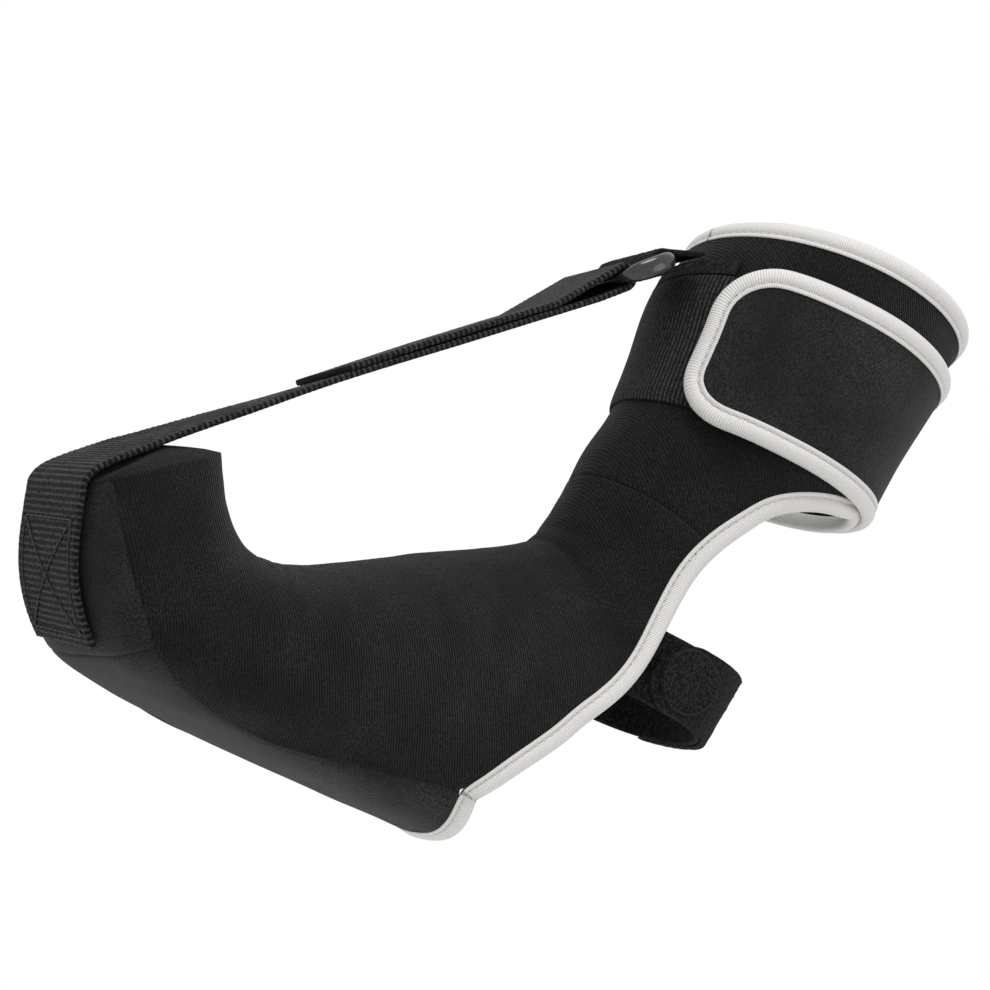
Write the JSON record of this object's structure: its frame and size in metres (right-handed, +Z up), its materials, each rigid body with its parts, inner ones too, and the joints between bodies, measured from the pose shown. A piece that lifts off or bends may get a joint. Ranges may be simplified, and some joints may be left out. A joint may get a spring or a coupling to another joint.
{
  "type": "night splint",
  "caption": "Knitted foot sleeve with an open heel, bound edges, a leg cuff closed by a hook flap, a heel strap, and a ribbed strap from under the toes to a ring at the shin",
  "frame": {"origin": "On the level of the sole panel's inner face, on the middle line, under the leg, where the wearer's heel stands", "axes": "+Z up along the leg, toes toward -Y, the side where the flap closes toward +X"},
  "size_m": [0.1066, 0.2968, 0.245],
  "materials": {
    "foot_sleeve": "fine black stretch knit",
    "toe_panel": "smooth black knit",
    "sole_panel": "smooth black knit",
    "ankle_panel": "fine black stretch knit",
    "cuff": "fine black stretch knit",
    "loop_band": "ribbed black webbing",
    "closure_flap": "smooth black knit",
    "cuff_binding": "satin light grey edge binding",
    "heel_edge_binding": "satin light grey edge binding",
    "flap_binding": "satin light grey edge binding",
    "strap_ring": "glossy black moulding",
    "toe_strap": "ribbed black webbing",
    "ring_tab": "matte black loop pile",
    "tab_strip": "matte black loop pile",
    "heel_strap": "matte black loop pile",
    "heel_strap_tab": "matte black loop pile",
    "hook_patch": "stitched black hook patch"
  },
  "bodies": {
    "root": {"foot_sleeve": "foot_sleeve", "toe_panel": "toe_panel", "sole_panel": "sole_panel", "ankle_panel": "ankle_panel", "cuff": "cuff", "loop_band": "loop_band", "closure_flap": "closure_flap", "cuff_binding": "cuff_binding", "heel_edge_binding": "heel_edge_binding", "flap_binding": "flap_binding", "strap_ring": "strap_ring", "toe_strap": "toe_strap", "ring_tab": "ring_tab", "tab_strip": "tab_strip", "heel_strap": "heel_strap", "heel_strap_tab": "heel_strap_tab", "hook_patch": "hook_patch"}
  },
  "joints": []
}
